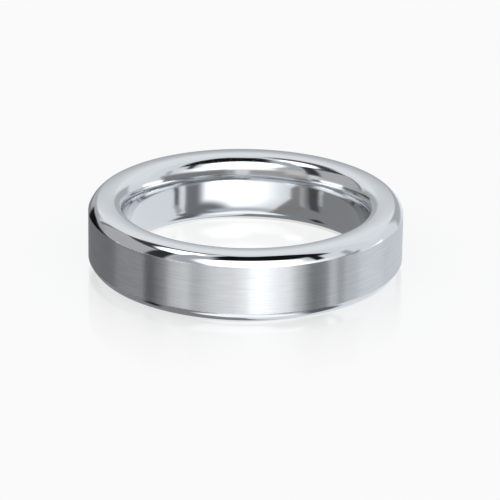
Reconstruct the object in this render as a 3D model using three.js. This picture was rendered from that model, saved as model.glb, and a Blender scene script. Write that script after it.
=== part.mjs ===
// A plain wedding band, lying flat. Millimetres, +Z up.
// The origin is the centre of the finger hole, halfway between the two side faces,
// and +Z is the axis that the finger passes along.
//
// The ring is one piece of metal, turned from a seamless blank. Its section, from the bore outwards:
//   bore        comfort fit: an elliptical arc, closest to the finger at mid width
//   side face   a flat ring above and another below
//   bevel       polished and slightly crowned: three arcs, each flatter than the one before,
//               that roll the side face over towards the outer face
//   outer face  a straight cylinder, satin brushed, that meets the bevel on a crisp edge

import * as THREE from 'three';

// Driving dimensions
const fingerDiameter = 17.3;   // across the bore at mid width: the ring size
const wallThickness = 2.85;    // from the bore to the outer face, at mid width
const bandWidth = 5.0;         // along the finger
const comfortDepth = 1.05;     // how far the bore's rounding opens it out at each side face
const boreStraight = 0.8;      // the bore's straight stretch at mid width, between its two roundings

// The bevel's arcs from the side face down: each has its radius, and the direction that the
// surface faces where the arc ends, in degrees above level.
const bevelArcs = [
  { radius: 0.42, reaches: 52 },
  { radius: 1.25, reaches: 35.5 },
  { radius: 2.25, reaches: 24 },
];

// Smoothness
const segmentsAround = 80;
const boreSteps = 7;
const stepsPerBevelArc = 2;

const degree = Math.PI / 180;
const outerRadius = fingerDiameter / 2 + wallThickness;
const comfortLength = (bandWidth - boreStraight) / 2;

// Points of an elliptical arc in the (radius, height) plane; angles in degrees, both ends included.
function arc(centre, reachRadius, reachHeight, from, to, steps) {
  return Array.from({ length: steps + 1 }, (_, i) => {
    const angle = (from + (to - from) * i / steps) * degree;
    return new THREE.Vector2(
      centre.x + reachRadius * Math.cos(angle),
      centre.y + reachHeight * Math.sin(angle),
    );
  });
}

// The bevel, from the side face down to the outer face. Each arc starts where the last one ended
// and faces the same way there, so its centre is one radius back along that direction.
function bevel(halfWidth) {
  const facing = (angle, length) => new THREE.Vector2(Math.cos(angle * degree), Math.sin(angle * degree))
    .multiplyScalar(length);
  const points = [new THREE.Vector2(0, halfWidth)];
  let from = 90;
  for (const { radius, reaches } of bevelArcs) {
    const start = points[points.length - 1];
    const centre = start.clone().sub(facing(from, radius));
    points.push(...arc(centre, radius, radius, from, reaches, stepsPerBevelArc).slice(1));
    from = reaches;
  }
  const offset = outerRadius - points[points.length - 1].x;
  points.forEach((point) => { point.x += offset; });
  return points;
}

// The upper half of the section, from the bore up, over the side face and down to the outer face.
function upperHalf() {
  const halfWidth = bandWidth / 2;
  const comfortCentre = new THREE.Vector2(fingerDiameter / 2 + comfortDepth, halfWidth - comfortLength);
  const bore = arc(comfortCentre, comfortDepth, comfortLength, 180, 90, boreSteps);
  return [...bore, ...bevel(halfWidth)];
}

// The whole section: the upper half, the same points mirrored below, and back to the start.
function section() {
  const upper = upperHalf();
  const lower = upper.map((point) => new THREE.Vector2(point.x, -point.y)).reverse();
  return [...upper, ...lower, upper[0].clone()];
}

// A lathe turns its section about Y, and the ring's axis is Z.
// A section that runs clockwise in (radius, height) gives faces that point in, so it is run backwards.
function bandGeometry() {
  const geometry = new THREE.LatheGeometry(section().reverse(), segmentsAround);
  geometry.rotateX(Math.PI / 2);
  return geometry;
}

const whiteMetal = new THREE.MeshStandardMaterial({ color: 0xc9cccf, roughness: 0.22, metalness: 1.0 });

const band = new THREE.Mesh(bandGeometry(), whiteMetal);
band.name = 'band';

const group = new THREE.Group();
group.add(band);

export default group;
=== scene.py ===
# %% [markdown]
# # A wedding band in brushed and polished white metal
#
# The ring is one piece of metal, turned on a lathe from a seamless blank, so the whole
# model is one closed surface. What makes it look real is not the number of pieces but
# three things: a section with true roundings, two finishes that meet on a crisp edge,
# and a studio whose light boxes the mirror-like metal can show.

# %% [markdown]
# ## The fixed frame
#
# The solid model of the ring is already packed, in metres, with its origin at the centre
# of the finger hole and +Z along the hole. Its size is read from there, so the looks
# below always fit the part that they cover.

# %% The fixed frame
import math
from collections import namedtuple

import bpy
import numpy as np
from mathutils import Matrix, Vector


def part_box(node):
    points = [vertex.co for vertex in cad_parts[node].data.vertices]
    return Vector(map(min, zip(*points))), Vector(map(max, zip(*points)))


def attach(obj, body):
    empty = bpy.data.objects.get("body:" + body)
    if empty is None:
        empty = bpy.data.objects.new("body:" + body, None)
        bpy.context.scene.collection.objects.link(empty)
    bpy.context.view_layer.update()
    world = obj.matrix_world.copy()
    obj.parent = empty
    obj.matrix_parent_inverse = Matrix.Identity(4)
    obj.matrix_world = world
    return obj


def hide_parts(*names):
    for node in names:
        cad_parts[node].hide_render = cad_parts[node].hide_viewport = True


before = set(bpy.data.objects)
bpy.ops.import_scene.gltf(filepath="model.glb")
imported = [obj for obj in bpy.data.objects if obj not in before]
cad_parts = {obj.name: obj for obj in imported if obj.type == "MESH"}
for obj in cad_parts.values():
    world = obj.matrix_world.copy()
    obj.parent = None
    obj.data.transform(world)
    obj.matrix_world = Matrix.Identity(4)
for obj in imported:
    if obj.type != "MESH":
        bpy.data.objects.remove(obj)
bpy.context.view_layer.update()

scene = bpy.context.scene
MM = 0.001
low, high = (np.array(corner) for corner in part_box("band"))
outer_radius = (high[0] - low[0]) / 2
half_width = (high[2] - low[2]) / 2
print(f"outer diameter {outer_radius * 2 / MM:.2f} mm, band width {half_width * 2 / MM:.2f} mm")

# %% [markdown]
# ## The section of the ring
#
# A ring is a body of revolution, so its whole shape is in one closed line: the section
# that a saw cut would show. From the outer face it runs up over a tiny break of the
# edge, a crowned bevel made of three arcs, the flat side face, and then down the bore.
# The bore is "comfort fit": an elliptical arc that only comes close to the finger at
# mid width. Each stretch hands over its direction to the next, as a polished edge does,
# so each point keeps the exact direction that the surface faces there.

# %% Sizes of the section
wall_thickness = 2.85 * MM
comfort_depth = 1.05 * MM
bore_straight = 0.8 * MM
bevel_angle = math.radians(24)
crown = [  # radius of each arc, and how far round it reaches, from the side face down
    (0.42 * MM, math.radians(52)),
    (1.25 * MM, math.radians(35.5)),
    (2.25 * MM, bevel_angle),
]
edge_radius = 0.05 * MM
side_crown = math.radians(2.0)
bore_radius = outer_radius - wall_thickness
comfort_length = half_width - bore_straight / 2
print(f"finger hole {bore_radius * 2 / MM:.2f} mm across")


# %% [markdown]
# ## Stretches of the section
#
# A turner forms each stretch with its own tool: a turning tool for the outer face, a
# polishing wheel for the bevel, and a round-nosed tool for the bore. Here there are two
# kinds of stretch, the elliptical arc and the straight line. Both give rows of radius,
# height and facing direction, and a stretch begins on the row where the last one ended.

# %% Stretches of the section
steps_per_crown_arc = 10
steps_on_edge = 4
steps_on_bore = 40
steps_on_side = 4
steps_on_outer_face = 2


def arc(centre, reach, start, end, steps):
    """Rows of radius, height and the two parts of the facing direction along an elliptical arc.
    The point is centre + reach * (cos t, sin t); the ellipse faces along (cos t, sin t) / reach."""
    t = np.linspace(start, end, steps + 1)[:, None]
    turn = np.hstack([np.cos(t), np.sin(t)])
    facing = turn / np.array(reach)
    facing /= np.linalg.norm(facing, axis=1, keepdims=True)
    return np.hstack([np.array(centre) + turn * np.array(reach), facing])


def straight(start, end, steps):
    """The same rows along a straight line, which faces to the right of its direction of travel."""
    start, end = np.array(start), np.array(end)
    t = np.linspace(0, 1, steps + 1)[:, None]
    along = (end - start) / np.linalg.norm(end - start)
    facing = np.array([along[1], -along[0]])
    return np.hstack([start + (end - start) * t, np.tile(facing, (steps + 1, 1))])


print(f"steps: {steps_on_bore} on each half of the bore, {steps_per_crown_arc} on each crown arc")

# %% [markdown]
# ### The bevel
#
# A polisher rolls the bevel over by hand, so it is never quite flat: it is tight where it
# leaves the side face and opens out toward the outer face. Three arcs of growing radius do
# the same. The corner where it meets the outer face is broken, so that it doesn't cut.

# %% The bevel
def crown_turns():
    """Radius, first direction and last direction of each arc of the crowned bevel."""
    ends = [reach for _, reach in crown]
    begins = [math.pi / 2] + ends[:-1]
    return [(radius, begin, end) for (radius, _), begin, end in zip(crown, begins, ends)]


def crowned_bevel():
    """Arcs that hand over to each other without a crease, from the outer face up to the side face.
    Each arc starts where the last one ended, so only the radii and the turns are given."""
    width = sum(radius * (math.cos(end) - math.cos(begin)) for radius, begin, end in crown_turns())
    point = np.array([outer_radius - width, half_width])
    pieces = []
    for radius, begin, end in crown_turns():
        centre = point - radius * np.array([math.cos(begin), math.sin(begin)])
        piece = arc(centre, (radius,) * 2, begin, end, steps_per_crown_arc)
        point = piece[-1, :2]
        pieces.append(piece[1:] if pieces else piece)
    return np.vstack(pieces)[::-1]


def broken_edge(bevel_foot):
    """A tiny rounding where the bevel meets the outer face. It touches both: its centre lies one
    radius inside the outer face, and below the bevel's foot by radius * tan(half the bevel angle)."""
    drop = edge_radius * math.tan(bevel_angle / 2)
    centre = (outer_radius - edge_radius, bevel_foot[1] - drop)
    return arc(centre, (edge_radius,) * 2, 0, bevel_angle, steps_on_edge)


bevel_width = outer_radius - crowned_bevel()[-1, 0]
print(f"the bevel takes {bevel_width / MM:.2f} mm of the wall's {wall_thickness / MM:.2f} mm")

# %% [markdown]
# ### Joining the stretches
#
# Only the upper half is described, because the ring is the same on both sides. The lower
# half is its mirror image.

# %% The whole section
def crowned(rows):
    """Polishing leaves the flat side face very slightly crowned. The crown is lower than a hundredth
    of a millimetre, so only its facing directions turn: out at the outer edge, in at the bore."""
    turn = np.linspace(1, -1, len(rows)) * side_crown
    rows[:, 2:] = np.column_stack([np.sin(turn), np.cos(turn)])
    return rows


def upper_half():
    """The section's upper half, from the middle of the outer face to the middle of the bore,
    with each stretch's finish: 0 is brushed, 1 is the bevel, 2 the side face, 3 the bore."""
    bevel = crowned_bevel()
    edge = broken_edge(bevel[0, :2])
    bevel = np.vstack([edge[-1:], bevel[1:]])
    bore = arc(
        (bore_radius + comfort_depth, half_width - comfort_length),
        (comfort_depth, comfort_length),
        math.pi / 2,
        math.pi,
        steps_on_bore,
    )
    side_face = crowned(straight(bevel[-1, :2], bore[0, :2], steps_on_side))
    bevel[-1] = side_face[0]
    stretches = [
        (straight((outer_radius, 0), edge[0, :2], steps_on_outer_face), 0),
        (edge, 1),
        (bevel, 1),
        (side_face, 2),
        (bore, 3),
        (straight(bore[-1, :2], (bore_radius, 0), 1), 3),
    ]
    rows = np.vstack([stretches[0][0]] + [points[1:] for points, _ in stretches[1:]])
    finish = np.concatenate([np.full(len(points) - 1, kind) for points, kind in stretches])
    return rows, finish


def whole_section():
    """The upper half and its mirror image below, as one closed line of rows, and a finish for each step."""
    rows, finish = upper_half()
    mirrored = (rows * np.array([1, -1, 1, -1]))[::-1]
    return np.vstack([rows, mirrored[1:-1]]), np.concatenate([finish, finish[::-1]])


section, finish = whole_section()
print(f"the section has {len(section)} points")

# %% [markdown]
# ## Turning the section
#
# On the lathe the section is carried once around the axis. Here the same is one formula
# over a grid of two parameters: a step along the section and an angle around the ring.
# The grid closes on itself both ways, so there is no seam to weld and no pole to cap.

# %% The grid of the band
steps_around = 600


def turned(section, steps_around):
    """Points and facing directions of the turned surface, one row per step along the section:
    (radius cos a, radius sin a, height), and the same for the direction."""
    angle = np.arange(steps_around) * 2 * math.pi / steps_around
    around = np.stack([np.cos(angle), np.sin(angle)], axis=-1)
    points = np.empty((len(section), steps_around, 3))
    points[..., :2] = section[:, None, 0:1] * around[None]
    points[..., 2] = section[:, None, 1]
    facing = np.empty_like(points)
    facing[..., :2] = section[:, None, 2:3] * around[None]
    facing[..., 2] = section[:, None, 3]
    return points, facing


def closed_grid(rows, columns):
    """Four corners for each face of a grid that closes on itself both ways, facing out."""
    i, j = np.meshgrid(np.arange(rows), np.arange(columns), indexing="ij")
    up, on = (i + 1) % rows, (j + 1) % columns
    corners = np.stack([i * columns + j, i * columns + on, up * columns + on, up * columns + j], axis=-1)
    return corners.reshape(-1, 4)


print(f"grid of {len(section)} by {steps_around}")

# %% [markdown]
# ### From the grid to a mesh
#
# Each point of the mesh is given the exact direction that the turned surface faces there.
# A mirror finish needs that: directions averaged from the faces around a point would bend
# its reflections where long faces meet short ones. The UV map follows the ring, so that the
# brushed finish knows which way is around.

# %% The band's mesh
def band_mesh(section, finish, steps_around):
    """The turned surface as a mesh, with exact facing directions, a finish per face, and a UV map
    that runs once around the ring in u and along the section in v."""
    points, facing = turned(section, steps_around)
    rows = len(section)
    faces = closed_grid(rows, steps_around)
    mesh = bpy.data.meshes.new("band_surface")
    mesh.from_pydata(points.reshape(-1, 3), [], faces)
    mesh.polygons.foreach_set("use_smooth", np.ones(len(faces), bool))
    mesh.polygons.foreach_set("material_index", np.repeat(finish, steps_around))
    i, j = np.divmod(np.arange(rows * steps_around), steps_around)
    u = np.stack([j, j + 1, j + 1, j], axis=-1) / steps_around
    v = np.stack([i, i, i + 1, i + 1], axis=-1) / rows
    uv = mesh.uv_layers.new(name="around_and_along")
    uv.data.foreach_set("uv", np.stack([u, v], axis=-1).ravel())
    mesh.validate()
    mesh.update()
    mesh.normals_split_custom_set_from_vertices(facing.reshape(-1, 3))
    return mesh


mesh = band_mesh(section, finish, steps_around)
band = bpy.data.objects.new("polished_band", mesh)
scene.collection.objects.link(band)
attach(band, "root")
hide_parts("band")
print(f"{len(mesh.polygons)} faces, {len(mesh.polygons) * 2} triangles")


# %% [markdown]
# ## Two finishes on one metal
#
# Both finishes are the same grey-white metal, and differ in how smooth it is. The brushed
# one is also given a darker colour, because some light is lost between its grooves. A
# polishing wheel leaves the bevels and the side faces like a mirror, with a faint haze of
# hairlines, and reaches the bore a little less well. The outer face was held against an
# abrasive belt while the ring turned, so it is covered in fine grooves that all run around
# the ring. Grooves spread a reflection across themselves and leave it sharp along
# themselves: that is anisotropy, and it turns the studio into soft upright stripes.

# %% Metal
metal_colour = (0.695, 0.712, 0.732)
brushed_colour = (0.59, 0.605, 0.622)


def new_metal(name, colour, roughness):
    """A metal shader with its node tree, ready for its marks."""
    material = bpy.data.materials.new(name)
    material.use_nodes = True
    shader = material.node_tree.nodes["Principled BSDF"]
    shader.inputs["Base Color"].default_value = (*colour, 1)
    shader.inputs["Metallic"].default_value = 1.0
    shader.inputs["Roughness"].default_value = roughness
    return material, material.node_tree, shader


print(f"polished metal {metal_colour}, brushed metal {brushed_colour}")

# %% [markdown]
# ### Marks on the metal
#
# The marks are noise, fine along the axis and long around the ring where a tool left lines,
# and even in all directions on the side faces. Noise stays close to its middle value, so it
# reaches the shader through a range that stretches it. These first two helpers are used by
# the table as well.

# %% Linking and ranging
marks_spread = 0.25


def link(tree, output, target):
    """Joins one node's output to another node's input."""
    tree.links.new(output, target)


def mapped(tree, value, start, end, to_start, to_end, clamp=True):
    """Carries a value in a straight line from one range to another."""
    node = tree.nodes.new("ShaderNodeMapRange")
    node.clamp = clamp
    node.inputs["From Min"].default_value = start
    node.inputs["From Max"].default_value = end
    node.inputs["To Min"].default_value = to_start
    node.inputs["To Max"].default_value = to_end
    link(tree, value, node.inputs["Value"])
    return node.outputs["Result"]


print(f"marks fill noise values from {0.5 - marks_spread} to {0.5 + marks_spread}")

# %% [markdown]
# ### Noise, and what it changes
#
# One helper makes the noise, one turns it into a roughness between two limits, and one
# turns it into a streak of colour.

# %% Marks
def stretched_noise(tree, scale, detail):
    """Noise on Object coordinates multiplied by scale, so marks are short where scale is large."""
    nodes = tree.nodes
    place = nodes.new("ShaderNodeTexCoord")
    mapping = nodes.new("ShaderNodeMapping")
    mapping.inputs["Scale"].default_value = scale
    noise = nodes.new("ShaderNodeTexNoise")
    noise.inputs["Scale"].default_value = 1.0
    noise.inputs["Detail"].default_value = detail
    noise.inputs["Roughness"].default_value = 0.65
    link(tree, place.outputs["Object"], mapping.inputs["Vector"])
    link(tree, mapping.outputs["Vector"], noise.inputs["Vector"])
    return noise.outputs["Fac"]


def ranged(tree, value, low_value, high_value):
    """Turns noise, which stays near 0.5, into a number between two limits."""
    return mapped(tree, value, 0.5 - marks_spread, 0.5 + marks_spread, low_value, high_value)


def streaked(tree, marks, colour, depth):
    """The metal's colour, a little darker and a little lighter along the marks."""
    mix = tree.nodes.new("ShaderNodeMix")
    mix.data_type = "RGBA"
    darker, lighter = (
        [socket for socket in mix.inputs if socket.type == "RGBA" and socket.name == name][0]
        for name in ("A", "B")
    )
    darker.default_value = (*(part * (1 - depth) for part in colour), 1)
    lighter.default_value = (*(part * (1 + depth) for part in colour), 1)
    factor = [socket for socket in mix.inputs if socket.type == "VALUE"][0]
    link(tree, ranged(tree, marks, 0, 1), factor)
    return [socket for socket in mix.outputs if socket.type == "RGBA"][0]


streak_depth = 0.12
print(f"streaks are {streak_depth:.0%} darker or lighter than the metal")

# %% [markdown]
# ### The brushed outer face
#
# The marks are noise that is squeezed along the axis and drawn out around the ring, which
# is how an abrasive belt scratches. They change the colour and the roughness a little. The
# grooves too fine to see are left to the shader. It spreads a reflection along its tangent,
# which runs around the ring here, so a quarter turn sends it across the grooves.

# %% Satin brushed outer face
groove_scale = (450, 450, 12000)
satin_roughness = 0.3
satin_range = (0.28, 0.33)
quarter_turn = 0.25


def satin_brushed():
    """Grooves around the ring: noise that is fine along the axis and long around the ring."""
    material, tree, shader = new_metal("satin_brushed", brushed_colour, satin_roughness)
    grooves = stretched_noise(tree, groove_scale, 3.0)
    tangent = tree.nodes.new("ShaderNodeTangent")
    tangent.direction_type = "UV_MAP"
    tangent.uv_map = "around_and_along"
    link(tree, tangent.outputs["Tangent"], shader.inputs["Tangent"])
    link(tree, ranged(tree, grooves, *satin_range), shader.inputs["Roughness"])
    link(tree, streaked(tree, grooves, brushed_colour, streak_depth), shader.inputs["Base Color"])
    shader.inputs["Anisotropic"].default_value = 1.0
    shader.inputs["Anisotropic Rotation"].default_value = quarter_turn
    return material


outer_face_finish = satin_brushed()
print(f"outer face: {outer_face_finish.name}, roughness {satin_range[0]} to {satin_range[1]}")

# %% [markdown]
# ### The polished faces
#
# The bevels, the side faces and the bore share one metal and differ in gloss. Each has a
# faint haze, because no wheel leaves a perfect mirror.

# %% Polished bevels, side faces and bore
def polished(name, marks_scale, roughness_low, roughness_high):
    """A mirror finish whose haze wanders between two roughnesses along its polishing marks."""
    material, tree, shader = new_metal(name, metal_colour, roughness_low)
    marks = stretched_noise(tree, marks_scale, 2.0)
    link(tree, ranged(tree, marks, roughness_low, roughness_high), shader.inputs["Roughness"])
    return material


finishes = [
    outer_face_finish,
    polished("polished_bevel", (300, 300, 2500), 0.02, 0.04),
    polished("polished_side_face", (900, 900, 900), 0.04, 0.07),
    polished("polished_bore", (300, 300, 2500), 0.09, 0.12),
]
for material in finishes:
    mesh.materials.append(material)
print("finishes:", ", ".join(material.name for material in finishes))

# %% [markdown]
# ## The table
#
# The ring lies on a plain white table, lit so evenly that it shows no shadow. The table
# is a little glossy close to the ring, so it holds a faint mirror image of the ring that
# fades away with distance. The table has its own light, so it looks white all over, and a
# painted pool of brighter light lies inside the ring. It doesn't show in the metal, which mirrors the lower
# half
# of the light tent in its place: the cards there stand for what lies on and beside a real
# table.

# %% The table
table_white = 0.956
# painted light: the table glows brighter inside the ring, and fades to table_white under the ring's wall
painted_inner_light = 0.99
gloss_inside = 0.12
gloss_outside = 0.34
gloss_fade = 3.4 * MM
gloss_start = outer_radius - 1.2 * MM
hole_margin = 0.5 * MM
mirror_roughness = 0.13


def far_from_axis(tree):
    """Distance from the ring's axis, measured along the table."""
    place = tree.nodes.new("ShaderNodeTexCoord")
    flatten = tree.nodes.new("ShaderNodeVectorMath")
    flatten.operation = "MULTIPLY"
    flatten.inputs[1].default_value = (1, 1, 0)
    length = tree.nodes.new("ShaderNodeVectorMath")
    length.operation = "LENGTH"
    link(tree, place.outputs["Object"], flatten.inputs[0])
    link(tree, flatten.outputs["Vector"], length.inputs[0])
    return length.outputs["Value"]


def calculated(tree, operation, first, second=None):
    """One Math node; second may be a plain number or another node's output."""
    node = tree.nodes.new("ShaderNodeMath")
    node.operation = operation
    link(tree, first, node.inputs[0])
    if isinstance(second, (int, float)):
        node.inputs[1].default_value = second
    elif second is not None:
        link(tree, second, node.inputs[1])
    return node.outputs["Value"]


print(f"share of mirror in the table: {gloss_inside} inside the ring, {gloss_outside} beside it")

# %% [markdown]
# ### A gloss that fades
#
# The share of mirror depends only on the distance from the axis, along the table. It is low
# inside the ring, highest under the ring's wall, and dies away exponentially beyond it.

# %% The table's finish
def gloss_share(tree, distance):
    """Share of mirror in the table: gloss_inside within the ring, and outside it
    gloss_outside * exp(-(distance - gloss_start) / gloss_fade), but never above gloss_outside."""
    steps = mapped(tree, distance, gloss_start, gloss_start + gloss_fade, 0, -1, clamp=False)
    fading = calculated(tree, "EXPONENT", calculated(tree, "MINIMUM", steps, 0))
    outside = calculated(tree, "MULTIPLY", fading, gloss_outside)
    is_outside = calculated(tree, "GREATER_THAN", distance, bore_radius + hole_margin)
    inside = calculated(tree, "MULTIPLY", calculated(tree, "SUBTRACT", is_outside, 1), -gloss_inside)
    return calculated(tree, "ADD", calculated(tree, "MULTIPLY", is_outside, outside), inside)


def table_material():
    """White light of its own, mixed with a mirror by gloss_share."""
    material = bpy.data.materials.new("white_table")
    material.use_nodes = True
    tree = material.node_tree
    tree.nodes.clear()
    distance = far_from_axis(tree)
    light = tree.nodes.new("ShaderNodeEmission")
    # painted pool of light: brighter glow inside the ring, ramping down to table_white across the wall
    white = mapped(tree, distance, bore_radius, outer_radius, painted_inner_light, table_white)
    link(tree, white, light.inputs["Color"])
    mirror = tree.nodes.new("ShaderNodeBsdfAnisotropic")
    mirror.inputs["Color"].default_value = (1, 1, 1, 1)
    mirror.inputs["Roughness"].default_value = mirror_roughness
    mixed = tree.nodes.new("ShaderNodeMixShader")
    end = tree.nodes.new("ShaderNodeOutputMaterial")
    link(tree, gloss_share(tree, distance), mixed.inputs["Fac"])
    link(tree, light.outputs["Emission"], mixed.inputs[1])
    link(tree, mirror.outputs["BSDF"], mixed.inputs[2])
    link(tree, mixed.outputs["Shader"], end.inputs["Surface"])
    return material


print(f"the table is {table_white} white, and {painted_inner_light} inside the ring")

# %% [markdown]
# ### Laying the table
#
# One square face at the height of the ring's lower side face. It fills the camera's view,
# and beyond its edge the room is the same white.

# %% The table itself
def stage_piece(name, points, faces, material):
    """A mesh that is part of the studio and not of the ring."""
    stage_mesh = bpy.data.meshes.new(name)
    stage_mesh.from_pydata(points, [], faces)
    stage_mesh.materials.append(material)
    piece = bpy.data.objects.new(name, stage_mesh)
    scene.collection.objects.link(piece)
    return piece


table_half = 0.45
table_corners = [(-1, -1), (1, -1), (1, 1), (-1, 1)]
floor = stage_piece(
    "table",
    [(x * table_half, y * table_half, low[2]) for x, y in table_corners],
    [(0, 1, 2, 3)],
    table_material(),
)
floor.visible_glossy = False
print(f"table top at {low[2] / MM:.2f} mm")

# %% [markdown]
# ## The light tent
#
# Polished metal has no look of its own: it shows what stands around it. So the studio is
# a tent, a sphere around the ring whose inside glows. It is lined with pale grey cloth, and
# much of the cloth is covered: white softboxes, grey cards, black shades and thin stands,
# which the metal draws as its white bands and its dark lines. Their places were chosen for
# the view from the camera. Each panel's place is two angles seen from the ring: how far
# round it is from the camera's side, and how high it is. Later panels hang in front of
# earlier ones. The low strips and shades, close to the horizon, are there mainly for the
# brushed face, and set how light each part of it is.

# %% Panels of the tent
Panel = namedtuple(
    "Panel", "name around up wide high edge shade warm lean bend oval", defaults=(-0.025, 0, 0, False)
)

panels = [
    # name, around, up, half width, half height, soft edge (all in degrees), shade
    Panel("lit back wall", 180, 46, 75, 27, 12, 0.85),
    Panel("low wall behind", 180, 8, 42, 12, 8, 0.63, warm=-0.03),
    # below the horizon
    Panel("grey table, left", -112, -46, 75, 42, 4, 0.48),
    Panel("warm card", -52, -40, 14, 30, 4, 0.465, warm=0.03),
    Panel("pale slip", -79, -17, 3, 5, 3, 0.68),
    Panel("dark post", -69, -22, 6, 13, 5, 0.27, bend=-0.014),
    Panel("pale sliver", -57, -24, 2.6, 10, 3, 0.60, bend=-0.014),
    Panel("white reflector", -9, -40, 46, 37, 4, 0.84, warm=-0.03, lean=0.6, bend=-0.004),
    Panel("middle of the reflector", 13, -15, 42, 42, 30, 1.04, warm=0, oval=True),
    Panel("dark end of the reflector", 54, -38, 10, 28, 12, 0.42, bend=0.009, warm=-0.06),
    Panel("dark end, lower part", 48, -52, 24, 20, 20, 0.42, warm=-0.06, oval=True),
    Panel("foot of the reflector", 8, -62, 44, 7, 12, 0.68, warm=-0.04),
    Panel("grey strip", 69, -30, 5, 20, 3, 0.62, bend=0.010),
    Panel("bright bar", 64.5, -28, 3.2, 21, 2.5, 0.84, bend=0.009),
    Panel("thin cord", 72.5, -19, 2.2, 9, 3, 0.30, bend=0.008),
    Panel("thin cord, lower part", 76.5, -35, 3, 8, 3, 0.58, bend=0.008),
    Panel("dark fold", 106, -62, 20, 6, 6, 0.36, warm=-0.05),
    Panel("dark fold, near end", 84, -56, 7, 7, 5, 0.40, warm=-0.05),
    Panel("table under the ring", 5, -79, 95, 8, 6, 0.97),
    Panel("dark fold, left", -113, -56, 12, 3, 3, 0.18),
    Panel("low shade, left", -108, -2, 42, 9, 6, 0.12, warm=0),
    Panel("dark gap, far left", -136, -1, 6, 7, 4, 0.10),
    Panel("low strip light", -47, -5, 8, 6, 3, 1.65),
    Panel("low shade, front", -20, -4, 14, 6, 5, 0.20),
    Panel("low strip light, right", 18, -4, 15, 7, 4, 1.95),
    Panel("low shade, right", 44, -3, 7, 6, 4, 0.15),
    Panel("low strip light, far right", 66, -4, 7, 5, 4, 1.25),
    # above the horizon
    Panel("left wall", -103, 24, 29, 17, 9, 0.64, warm=0.01),
    Panel("left wall, dark edge", -131, 26, 2.5, 14, 4, 0.46),
    Panel("black cloth, high left", -116, 66, 30, 14, 10, 0.32),
    Panel("black cloth, left", -101, 49, 27, 8, 5, 0.24),
    Panel("black ceiling", 17, 61, 56, 20, 7, 0.10),
    Panel("side softbox", -73, 58, 25, 13, 6, 1.30, oval=True),
    Panel("stand, left", -68, 32, 8, 14, 5, 0.20),
    Panel("front softbox, dim end", -44, 40, 15, 22, 8, 0.63, warm=-0.05),
    Panel("front softbox, far end", 47, 32, 12, 14, 8, 0.72, warm=-0.05),
    Panel("far warm wall, left", -132, 11, 12, 3, 4, 0.60, warm=0.01),
    Panel("front softbox", 3, 38, 41, 13, 6, 1.40, warm=0, oval=True),
    Panel("glow under the softbox", 18, 21, 38, 13, 14, 1.22, warm=0, oval=True),
    Panel("warm band", -12, 8, 50, 10, 7, 0.58, warm=0.02),
    Panel("warm band, right", 54, 7, 34, 11, 8, 0.46, warm=0.01),
    Panel("pale gap", 4, 8, 7, 9, 5, 0.80),
    Panel("warm lamp", -48, 18, 10, 7, 7, 0.72, warm=0.03),
    Panel("low lamp, left", -89, 4, 14, 5, 4, 1.15),
    Panel("low lamp, right", 99, 4, 13, 5, 4, 1.20),
    Panel("stand, right", 58, 44, 3.5, 15, 3, 0.12),
    Panel("thin pole, right", 81, 24, 3, 8, 4, 0.62),
]
print(f"{len(panels)} panels")

# %% [markdown]
# ### Mixing the panels
#
# Each panel has a soft edge, since a real softbox dims toward its rim and cloth curves out
# of the light. Its mask is one S-shaped step, from 0 outside to 1 inside. An oval's is
# measured from its centre, and a rectangle's from its nearest side.

# %% Light of the tent
cloth_shade = 0.82
cloth_warmth = -0.04


def laid_over(shade, warmth, panel, around, up):
    """Mixes a panel over the tent. Its mask is 1 inside and falls to 0 outside over its soft edge.
    Below its top edge a panel drifts sideways by lean * drop + bend * drop squared."""
    drop = np.maximum(panel.up + panel.high - up, 0)
    drift = panel.lean * drop + panel.bend * drop ** 2
    across = (around - panel.around - drift + 180) % 360 - 180
    rise = up - panel.up
    if panel.oval:
        inside = (1 - np.hypot(across / panel.wide, rise / panel.high)) * min(panel.wide, panel.high)
    else:
        inside = np.minimum(panel.wide - np.abs(across), panel.high - np.abs(rise))
    mask = np.clip(inside / panel.edge + 0.5, 0, 1)
    mask = mask * mask * (3 - 2 * mask)
    return shade + (panel.shade - shade) * mask, warmth + (panel.warm - warmth) * mask


def tent_colours(around, up):
    """Light of the tent in each direction: shade ** 2.2 / metal colour, so that the metal draws
    a shade of 1 as plain white. Warmth adds that share of red and takes it from blue."""
    shade = np.full(around.shape, cloth_shade)
    warmth = np.full(around.shape, cloth_warmth)
    for panel in panels:
        shade, warmth = laid_over(shade, warmth, panel, around, up)
    light = shade ** 2.2 / metal_colour[1]
    return np.stack([light * (1 + warmth), light, light * (1 - warmth)], axis=-1)


print(f"cloth of shade {cloth_shade}")

# %% [markdown]
# ## Hanging the tent
#
# The tent is a sphere of small glowing faces. Each corner of a face has the light worked
# out above, and it blends across the face. Only gloss shows the tent, on the metal and
# faintly on the table. First come the directions of its corners, and the faces between.

# %% The sphere of the tent
tent_radius = 0.6
grid_step = 1.0


def tent_directions():
    """Unit directions on a grid of angles: around from the camera's side, and up from level."""
    around, up = np.meshgrid(
        np.arange(-180, 180, grid_step), np.arange(-89.5, 90, grid_step), indexing="ij"
    )
    a, u = np.radians(around), np.radians(up)
    points = np.stack([np.sin(a) * np.cos(u), -np.cos(a) * np.cos(u), np.sin(u)], axis=-1)
    return around, up, points


def tent_faces(columns, rows):
    """Four corners for each face of a grid that closes on itself around but not at its poles."""
    i, j = np.meshgrid(np.arange(columns), np.arange(rows - 1), indexing="ij")
    on = (i + 1) % columns
    corners = np.stack([i * rows + j, i * rows + j + 1, on * rows + j + 1, on * rows + j], axis=-1)
    return corners.reshape(-1, 4)


print(f"one point for every {grid_step:.0f} degree around and up")

# %% [markdown]
# ### Lighting the tent
#
# The light is kept in a colour attribute, which the material reads and sends out. The tent
# is hidden from the camera, and gives no diffuse light and no shadow.

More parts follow.
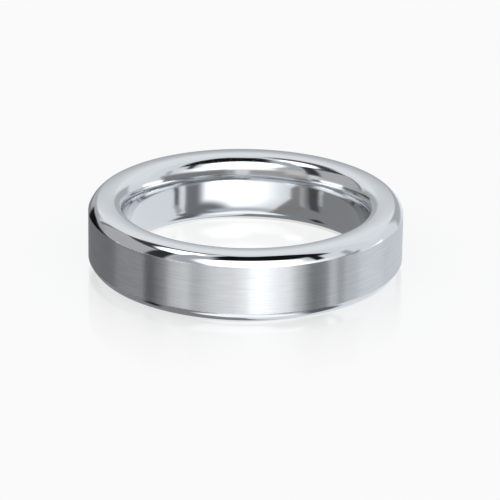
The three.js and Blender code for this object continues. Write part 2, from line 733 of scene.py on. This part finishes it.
# %% The glowing tent
def tent_material():
    """Light of its own, read from the colour attribute of the tent."""
    material = bpy.data.materials.new("glowing_tent")
    material.use_nodes = True
    tree = material.node_tree
    tree.nodes.clear()
    colour = tree.nodes.new("ShaderNodeAttribute")
    colour.attribute_name = "tent_light"
    glow = tree.nodes.new("ShaderNodeEmission")
    end = tree.nodes.new("ShaderNodeOutputMaterial")
    link(tree, colour.outputs["Color"], glow.inputs["Color"])
    link(tree, glow.outputs["Emission"], end.inputs["Surface"])
    material.cycles.emission_sampling = "NONE"
    return material


around, up, directions = tent_directions()
tent = stage_piece(
    "light_tent",
    (directions * tent_radius).reshape(-1, 3),
    tent_faces(*around.shape),
    tent_material(),
)
light = tent_colours(around, up).reshape(-1, 3)
attribute = tent.data.color_attributes.new("tent_light", "FLOAT_COLOR", "POINT")
attribute.data.foreach_set("color", np.hstack([light, np.ones((len(light), 1))]).ravel())
tent.visible_camera = False
tent.visible_diffuse = False
tent.visible_shadow = False
print(f"the tent has {len(light)} points of light")

# %% [markdown]
# ## The white room
#
# Beyond the table is a white room without corners, in the same white as the table, so no
# edge shows between them. The bore mirrors itself many times over, and each mirror image
# needs one more bounce of light, so more bounces are allowed than usual.

# %% World
bounces = 24
world = bpy.data.worlds.new("white_room")
world.use_nodes = True
world.node_tree.nodes["Background"].inputs["Color"].default_value = (*(table_white,) * 3, 1)
scene.world = world
scene.view_settings.view_transform = "Standard"
scene.cycles.max_bounces = bounces
scene.cycles.glossy_bounces = bounces
print(f"white room at {table_white}, {bounces} bounces of light")

# %% [markdown]
# ## The camera
#
# A long lens from a quarter of a metre away, looking down by about 21 degrees, so that
# perspective is slight and both the opening and the outer face show. It is turned by less
# than a degree, and aimed a little below and to the right of the ring's centre, which
# leaves room for the faint mirror image in the table.

# %% Camera
camera_distance = 0.2538
camera_elevation = math.radians(21.31)
camera_roll = math.radians(0.758)
camera_lens = 249.6
aim_right = 0.328 * MM
aim_down = 1.350 * MM


def place_camera():
    """The camera stands in front of the ring and above it. It looks at a point a little below the
    ring's centre and to the right of it."""
    back = Vector((0, -math.cos(camera_elevation), math.sin(camera_elevation)))
    right = Vector((1, 0, 0))
    up = back.cross(right)
    turn = Matrix.Rotation(camera_roll, 3, back)
    right, up = turn @ right, turn @ up
    target = right * aim_right - up * aim_down
    place = back * camera_distance
    look = (target - place).normalized()
    across = look.cross(up).normalized()
    rise = across.cross(look)
    data = bpy.data.cameras.new("camera")
    data.lens = camera_lens
    data.sensor_width = 36
    data.clip_start = 0.01
    data.clip_end = 10
    camera = bpy.data.objects.new("camera", data)
    camera.matrix_world = Matrix((
        (across.x, rise.x, -look.x, place.x),
        (across.y, rise.y, -look.y, place.y),
        (across.z, rise.z, -look.z, place.z),
        (0, 0, 0, 1),
    ))
    scene.collection.objects.link(camera)
    scene.camera = camera
    return camera


camera = place_camera()
print(f"camera {camera_distance} m away, lens {camera_lens} mm")
